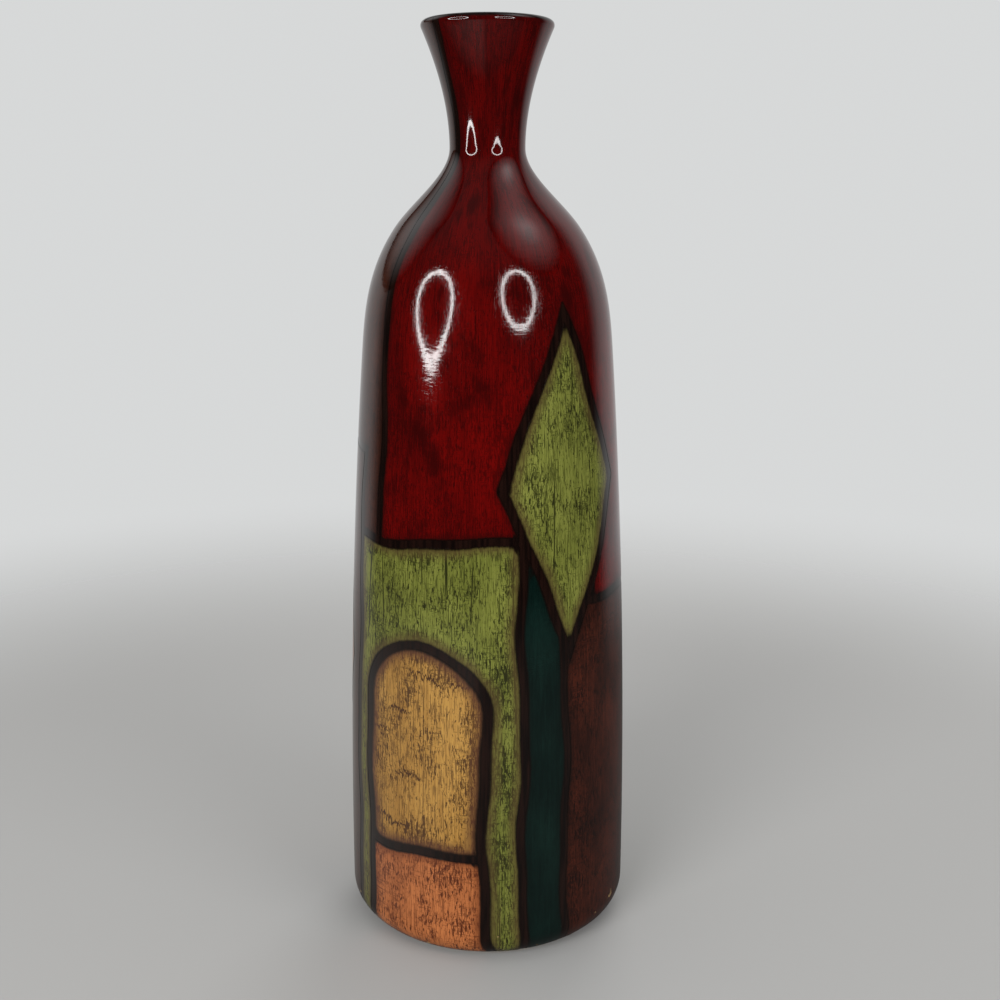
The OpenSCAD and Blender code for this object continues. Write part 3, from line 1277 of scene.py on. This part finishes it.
@dataclass(frozen=True)
class PaintingPlan:
    """Lines, heights and motifs of the painting, with angles in degrees and drops from the shoulder."""

    arch_panel_left: float = -65
    teal_strip_left: float = 14
    rust_panel_left: float = 32
    green_strip_left: float = 86
    olive_panel_left: float = 101
    back_panel_left: float = 120
    blocks_left: float = 196
    side_panel_left: float = 248
    red_yoke_left: float = -50
    brown_yoke_left: float = 206
    arch_panel_drop: float = 64 * MM
    arch_panel_slope: float = 3
    teal_strip_drop: float = 50 * MM
    rust_panel_drop: float = 88 * MM
    rust_panel_slope: float = -5
    green_strip_drop: float = 22 * MM
    olive_panel_drop: float = 78 * MM
    olive_panel_slope: float = 4
    back_panel_drop: float = 44 * MM
    back_panel_slope: float = -3
    blocks_line: float = 92 * MM
    blocks_drop: float = 60 * MM
    side_panel_drop: float = 32 * MM
    side_panel_slope: float = -4
    arch_at: float = -28
    arch_half_w: float = 25 * MM
    arch_spring: float = 102 * MM
    plinth_line: float = 44 * MM
    lozenge_at: float = 35
    lozenge_half_w: float = 26 * MM
    lozenge_half_h: float = 62 * MM
    lozenge_drop: float = 44 * MM
    back_arch_at: float = 158
    back_arch_half_w: float = 20 * MM
    back_arch_spring: float = 108 * MM
    side_lozenge_at: float = 271
    side_lozenge_half_w: float = 14 * MM
    side_lozenge_half_h: float = 40 * MM
    side_lozenge_mid: float = 112 * MM

    def fields(self, shoulder: float) -> list[ColourField]:
        """Lay out the painting.

        Args:
            shoulder: Height at which the shoulder begins.

        Returns:
            The fields.
        """
        arch_panel = Panel(self.arch_panel_left, self.teal_strip_left,
                           shoulder - self.arch_panel_drop, self.arch_panel_slope)
        teal_strip = Panel(self.teal_strip_left, self.rust_panel_left, shoulder - self.teal_strip_drop)
        rust_panel = Panel(self.rust_panel_left, self.green_strip_left,
                           shoulder - self.rust_panel_drop, self.rust_panel_slope)
        green_strip = Panel(self.green_strip_left, self.olive_panel_left, shoulder - self.green_strip_drop)
        olive_panel = Panel(self.olive_panel_left, self.back_panel_left,
                            shoulder - self.olive_panel_drop, self.olive_panel_slope)
        back_panel = Panel(self.back_panel_left, self.blocks_left,
                           shoulder - self.back_panel_drop, self.back_panel_slope)
        low_block = Panel(self.blocks_left, self.side_panel_left, self.blocks_line)
        both_blocks = Panel(self.blocks_left, self.side_panel_left, shoulder - self.blocks_drop)
        side_panel = Panel(self.side_panel_left, self.arch_panel_left + WHOLE_TURN,
                           shoulder - self.side_panel_drop, self.side_panel_slope)
        front_arch = Arch(self.arch_at, self.arch_half_w, self.arch_spring)
        plinth = Block(self.arch_at, self.arch_half_w, self.plinth_line)
        back_arch = Arch(self.back_arch_at, self.back_arch_half_w, self.back_arch_spring)
        lozenge = Lozenge(self.lozenge_at, self.lozenge_half_w, self.lozenge_half_h,
                          shoulder - self.lozenge_drop)
        side_lozenge = Lozenge(self.side_lozenge_at, self.side_lozenge_half_w,
                               self.side_lozenge_half_h, self.side_lozenge_mid)
        red_yoke = Wedge(self.red_yoke_left, self.back_panel_left)
        teal_yoke = Wedge(self.back_panel_left, self.brown_yoke_left)
        brown_yoke = Wedge(self.brown_yoke_left, self.red_yoke_left + WHOLE_TURN)
        return [
            ColourField("red_yoke", Paint.RED, red_yoke,
                        (arch_panel, teal_strip, rust_panel, green_strip, olive_panel, lozenge)),
            ColourField("teal_yoke", Paint.TEAL, teal_yoke, (back_panel, both_blocks)),
            ColourField("brown_yoke", Paint.BROWN, brown_yoke, (both_blocks, side_panel, arch_panel)),
            ColourField("arch_panel", Paint.GREEN, arch_panel, (front_arch, lozenge)),
            ColourField("ochre_arch", Paint.OCHRE, front_arch, (plinth,)),
            ColourField("orange_plinth", Paint.ORANGE, plinth),
            ColourField("teal_strip", Paint.TEAL, teal_strip, (lozenge,)),
            ColourField("rust_panel", Paint.RUST, rust_panel, (lozenge,)),
            ColourField("green_lozenge", Paint.GREEN, lozenge),
            ColourField("green_strip", Paint.GREEN, green_strip),
            ColourField("olive_panel", Paint.OLIVE, olive_panel),
            ColourField("back_panel", Paint.RUST, back_panel, (back_arch,)),
            ColourField("green_arch", Paint.GREEN, back_arch),
            ColourField("ochre_block", Paint.OCHRE, low_block),
            ColourField("olive_block", Paint.OLIVE, both_blocks, (low_block,)),
            ColourField("side_panel", Paint.BROWN, side_panel, (side_lozenge,)),
            ColourField("orange_lozenge", Paint.ORANGE, side_lozenge),
        ]


class Wave(NamedTuple):
    """A slow wave of the painted lines: its share, its length up the wall, its turns and its start."""

    share: float
    length: float
    turns: float
    start: float

    def at(self, angle: np.ndarray, z: np.ndarray) -> np.ndarray:
        """The wave at some angles and heights."""
        return self.share * np.sin(math.tau * z / self.length + self.turns * angle + self.start)


@dataclass(frozen=True)
class Painting:
    """The colour fields on the dark ground."""

    outline: Outline
    plan: PaintingPlan = PaintingPlan()
    paint_t: float = 0.04 * MM
    clearance: float = 0.03 * MM
    line_w: float = 2.8 * MM
    paint_low: float = 2 * MM
    lip_line: float = 0.8 * MM
    sway: float = 0.9 * MM
    sideways: tuple[Wave, ...] = (Wave(1.0, 83 * MM, 2, 0.6), Wave(0.45, 37 * MM, -3, 2.1))
    upwards: tuple[Wave, ...] = (Wave(1.0, 140 * MM, 5, 1.0), Wave(0.45, math.inf, 11, 0.7))
    calm_ends: float = 20 * MM
    face_above: float = 0.5

    @property
    def gap(self) -> float:
        """Half of a dark line."""
        return self.line_w / 2

    @property
    def paint_high(self) -> float:
        """Height at which the colours end under the lip."""
        return self.outline.height - self.lip_line

    def whole_coat(self) -> bpy.types.Object:
        """Turn a coat of colour all round the vase.

        Returns:
            The coat from which the fields are cut.
        """
        coat = turn_on_wheel("whole_coat", moved(self.outline.outside(), self.clearance))
        slice_off(coat, Vector((0, 0, self.paint_low)), Vector((0, 0, -1)), cap=False)
        slice_off(coat, Vector((0, 0, self.paint_high)), Vector((0, 0, 1)), cap=False)
        thicken(coat, self.paint_t, outwards=True)
        return coat

    def build(self) -> None:
        """Cut every field out of a coat, draw it by hand and dress it."""
        finishes = {paint: finish.material() for paint, finish in PAINTS.items()}
        coat = self.whole_coat()
        for spec in self.plan.fields(self.outline.shoulder_z):
            self.build_field(coat, spec, finishes[spec.paint])
        bpy.data.meshes.remove(coat.data)

    def build_field(self, coat: bpy.types.Object, spec: ColourField, finish: bpy.types.Material) -> None:
        """Cut one field out of a copy of the coat.

        Args:
            coat: The coat all round the vase.
            spec: The field.
            finish: Its material.
        """
        piece = coat.copy()
        piece.data = coat.data.copy()
        piece.name = f"{spec.node}_paint"
        bpy.context.collection.objects.link(piece)
        carve(piece, spec.shape.cutter(-self.gap), keep_inside=True)
        for shape in spec.cuts:
            carve(piece, shape.cutter(self.gap), keep_inside=False)
        split_cut_walls(piece)
        points = points_of(piece)
        self.note_edges(piece, spec, points)
        piece.data.vertices.foreach_set("co", self.drawn_by_hand(points).ravel())
        piece.data.update()
        seat(piece, spec.node, finish)
        self.shade_as_wall(piece)

    def shade_as_wall(self, piece: bpy.types.Object) -> None:
        """Shade the face of a field as the whole wall is, so that gloss runs on to its cut edges.

        What turns away from the wall by more than face_above allows is a cut edge, and keeps its own.

        Args:
            piece: The finished field.
        """
        mesh, points = piece.data, points_of(piece)
        across = points[:, :2] / np.hypot(points[:, 0], points[:, 1])[:, None]
        lean = self.outline.direction_at(points[:, 2])
        wall = np.column_stack((across * lean[:, :1], lean[:, 1]))
        corners = np.empty(len(mesh.loops), dtype=np.int32)
        mesh.loops.foreach_get("vertex_index", corners)
        sides = np.empty(len(mesh.polygons), dtype=np.int32)
        mesh.polygons.foreach_get("loop_total", sides)
        flat = np.empty(len(mesh.polygons) * 3)
        mesh.polygons.foreach_get("normal", flat)
        own = np.repeat(flat.reshape(-1, 3), sides, axis=0)
        facing = np.sum(own * wall[corners], axis=1)[:, None]
        on_face = np.abs(facing) > self.face_above
        mesh.normals_split_custom_set(np.where(on_face, np.sign(facing) * wall[corners], own))

    def note_edges(self, piece: bpy.types.Object, spec: ColourField, points: np.ndarray) -> None:
        """Keep on the mesh how far each vertex lies from the nearest dark line, in millimetres.

        Args:
            piece: The field's object.
            spec: The field.
            points: Its vertices as they were cut.
        """
        edges = [spec.shape.depth(points), self.paint_high + self.gap - points[:, 2]]
        edges += [-shape.depth(points) for shape in spec.cuts]
        distance = (np.minimum.reduce(edges) - self.gap) / MM
        layer = piece.data.attributes.new(EDGE, "FLOAT", "POINT")
        layer.data.foreach_set("value", distance.astype(np.float32))

    def drawn_by_hand(self, points: np.ndarray) -> np.ndarray:
        """Let the lines sway a little along the wall, as a brush does.

        Args:
            points: Places on the coat.

        Returns:
            The moved places, still on the wall.
        """
        x, y, z = points.T
        angle, radius = np.arctan2(x, -y), np.hypot(x, y)
        ends = np.minimum(z - self.paint_low, self.paint_high - z) / self.calm_ends
        along = self.sway * sum(wave.at(angle, z) for wave in self.sideways)
        up = self.sway * np.clip(ends, 0, 1) * sum(wave.at(angle, z) for wave in self.upwards)
        turned = angle + along / radius
        out = radius + self.outline.radius_at(z + up) - self.outline.radius_at(z)
        return np.column_stack((out * np.sin(turned), -out * np.cos(turned), z + up))


# Studio

WHITE: Color = (1.0, 1.0, 1.0)
FULL_WITHIN = 0.2
CORE_WITHIN = 0.45
SHOULDER: Place = (0, 0, 0.27)
BELLY: Place = (0, 0, 0.16)


def glow_in_varnish(lamp: bpy.types.Object, strength: float, core: float = 0.0,
                    fade_to: float = 0.0) -> None:
    """Make a mesh a lamp that lights nothing and only shows in glossy surfaces.

    Args:
        lamp: The mesh.
        strength: How bright it is.
        core: How much brighter it is in its middle.
        fade_to: Distance from its middle at which it has faded out, or 0 if it is bright all over.
    """
    bench = NodeBench(bpy.data.materials.new(f"{lamp.name} light"))
    level: Value = strength
    if fade_to:
        radius = bench.vector("LENGTH", bench.place())
        level = (bench.ramp(radius, fade_to, FULL_WITHIN * fade_to) * strength
                 + bench.ramp(radius, CORE_WITHIN * fade_to, 0.0) * core)
    bench.show(bench.node("ShaderNodeEmission", WHITE, level))
    lamp.data.materials.append(bench.owner)
    lamp.visible_camera = lamp.visible_diffuse = lamp.visible_shadow = False
    lamp.visible_transmission = lamp.visible_volume_scatter = False


@dataclass(frozen=True)
class Lamp:
    """A lamp of the studio, turned to its aim."""

    name: str
    place: Place
    aim: Place

    def turned(self, front: str) -> Euler:
        """The turn that brings an axis of the lamp to its aim."""
        return (Vector(self.aim) - Vector(self.place)).to_track_quat(front, "Y").to_euler()

    def build(self) -> None:
        """Hang the lamp."""
        raise NotImplementedError


@dataclass(frozen=True)
class RingLamp(Lamp):
    """A thin ring of light that only shows as a highlight on the varnish."""

    radius: float
    tube: float
    strength: float

    def build(self) -> None:
        """Hang the ring."""
        ring = fresh(
            bpy.ops.mesh.primitive_torus_add, self.name, major_radius=self.radius, minor_radius=self.tube,
            major_segments=RING_SIDES, minor_segments=TUBE_SIDES, location=self.place,
            rotation=self.turned("Z"))
        glow_in_varnish(ring, self.strength)


@dataclass(frozen=True)
class PalePanel(Lamp):
    """A round pale panel, bright in its middle, that only shows on the varnish."""

    radius: float
    strength: float
    core: float

    def build(self) -> None:
        """Hang the panel."""
        panel = fresh(
            bpy.ops.mesh.primitive_circle_add, self.name, vertices=PANEL_SIDES, radius=self.radius,
            fill_type="NGON", location=self.place, rotation=self.turned("Z"))
        glow_in_varnish(panel, self.strength, self.core, self.radius)


@dataclass(frozen=True)
class SoftLamp(Lamp):
    """A broad soft lamp, which lights the vase and isn't seen in the varnish."""

    size: float
    power: float

    def build(self) -> None:
        """Hang the lamp."""
        data = bpy.data.lights.new(self.name, "AREA")
        data.shape = "DISK"
        data.size = self.size
        data.energy = self.power
        lamp = bpy.data.objects.new(self.name, data)
        lamp.location = self.place
        lamp.rotation_euler = self.turned("-Z")
        lamp.visible_glossy = False
        bpy.context.collection.objects.link(lamp)


@dataclass(frozen=True)
class Studio:
    """Pale floor, soft light and the camera of the photograph."""

    camera_place: Place = (0.0, -0.499, 0.289)
    camera_dip: float = 0.2331
    lens: float = 46.64
    shift_x: float = 0.0125
    floor_r: float = 0.75
    fade_from: float = 0.3
    floor_color: Color = (0.44, 0.437, 0.428)
    # painted reflection: the floor as the varnish shows it, darker than the floor itself and lighter on its
    # left side
    floor_in_varnish: Color = (0.11, 0.107, 0.104)
    lit_floor_in_varnish: Color = (0.34, 0.33, 0.315)
    lit_from_to: tuple[float, float] = (0.0, -0.12)
    backdrop: Color = (0.68, 0.69, 0.69)
    fill: float = 0.52
    room: float = 0.56
    dark_room: float = 0.02
    pale_behind: tuple[float, float] = (0.26, 0.62)
    pale_above: tuple[float, float] = (0.4, 0.95)
    above_share: float = 0.12
    lamps: tuple[Lamp, ...] = (
        RingLamp("left_ring", (-0.39, -0.33, 0.392), SHOULDER, radius=0.160, tube=0.011, strength=20.0),
        RingLamp("right_ring", (0.18, -0.33, 0.394), SHOULDER, radius=0.102, tube=0.009, strength=16.0),
        PalePanel("left_panel", (-0.62, 0.36, 0.82), SHOULDER, radius=0.50, strength=0.75, core=0.2),
        PalePanel("right_panel", (0.46, -0.13, 1.03), SHOULDER, radius=0.54, strength=0.90, core=1.3),
        SoftLamp("key", (-0.75, -1.25, 0.62), BELLY, size=0.9, power=17.0),
        SoftLamp("fill", (0.9, -0.9, 0.5), BELLY, size=0.9, power=7.0),
        SoftLamp("back", (0.35, 1.3, 0.6), BELLY, size=0.9, power=9.0),
    )

    def build(self) -> None:
        """Set up the camera, the floor, the world and the lamps."""
        bpy.context.scene.view_settings.view_transform = "Standard"
        self.build_camera()
        self.build_floor()
        self.build_world()
        for lamp in self.lamps:
            lamp.build()

    def build_camera(self) -> None:
        """Place the camera as the photograph was taken."""
        data = bpy.data.cameras.new("photo_camera")
        data.lens = self.lens
        data.shift_x = self.shift_x
        camera = bpy.data.objects.new("photo_camera", data)
        camera.location = self.camera_place
        camera.rotation_euler = (QUARTER - self.camera_dip, 0, 0)
        bpy.context.collection.objects.link(camera)
        bpy.context.scene.camera = camera

    def build_floor(self) -> None:
        """Lay a round pale floor that fades into the backdrop. To glossy rays it shows a painted
        reflection: darker than the floor, with painted light on its left side.
        """
        floor = fresh(bpy.ops.mesh.primitive_circle_add, "pale_floor", vertices=FLOOR_SIDES,
                      radius=self.floor_r, fill_type="NGON")
        bench = NodeBench(bpy.data.materials.new("pale floor"))
        place = bench.place()
        far = bench.ramp(bench.vector("LENGTH", place), self.fade_from, self.floor_r)
        # painted light: in the varnish the floor grows lighter towards its left side
        lit = bench.ramp(bench.axis(place, "X"), *self.lit_from_to)
        painted_reflection = bench.mix(lit, self.floor_in_varnish, self.lit_floor_in_varnish)
        seen = bench.mix(bench.ray(Ray.GLOSSY), self.floor_color, painted_reflection)
        paint = bench.node("ShaderNodeBsdfDiffuse", seen)
        gone = bench.node("ShaderNodeBsdfTransparent")
        bench.show(bench.node("ShaderNodeMixShader", far, paint, gone))
        floor.data.materials.append(bench.owner)

    def build_world(self) -> None:
        """Light the room softly: pale to the camera, and to the varnish pale behind, dark in front."""
        world = bpy.data.worlds.new("studio room")
        bpy.context.scene.world = world
        bench = NodeBench(world)
        direction = bench.node("ShaderNodeTexCoord", output="Generated")
        behind = bench.ramp(bench.axis(direction, "Y"), *self.pale_behind)
        above = bench.ramp(bench.axis(direction, "Z"), *self.pale_above) * self.above_share
        seen = bench.math("MAXIMUM", behind, above) * (self.room - self.dark_room) + self.dark_room
        glossy = bench.ray(Ray.GLOSSY)
        level = glossy * seen + bench.math("SUBTRACT", 1.0, glossy) * self.fill
        grey = bench.node("ShaderNodeCombineColor", level, level, level)
        color = bench.mix(bench.ray(Ray.CAMERA), grey, self.backdrop)
        bench.show(bench.node("ShaderNodeBackground", color))


def main() -> None:
    """Build the studio and every piece of the vase."""
    logging.basicConfig(level=logging.INFO, format="%(name)s: %(message)s")
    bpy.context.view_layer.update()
    outline = Outline()
    for assembly in (Studio(), ClayBody(outline), Coats(outline), Painting(outline)):
        assembly.build()


if __name__ == "__main__":
    main()
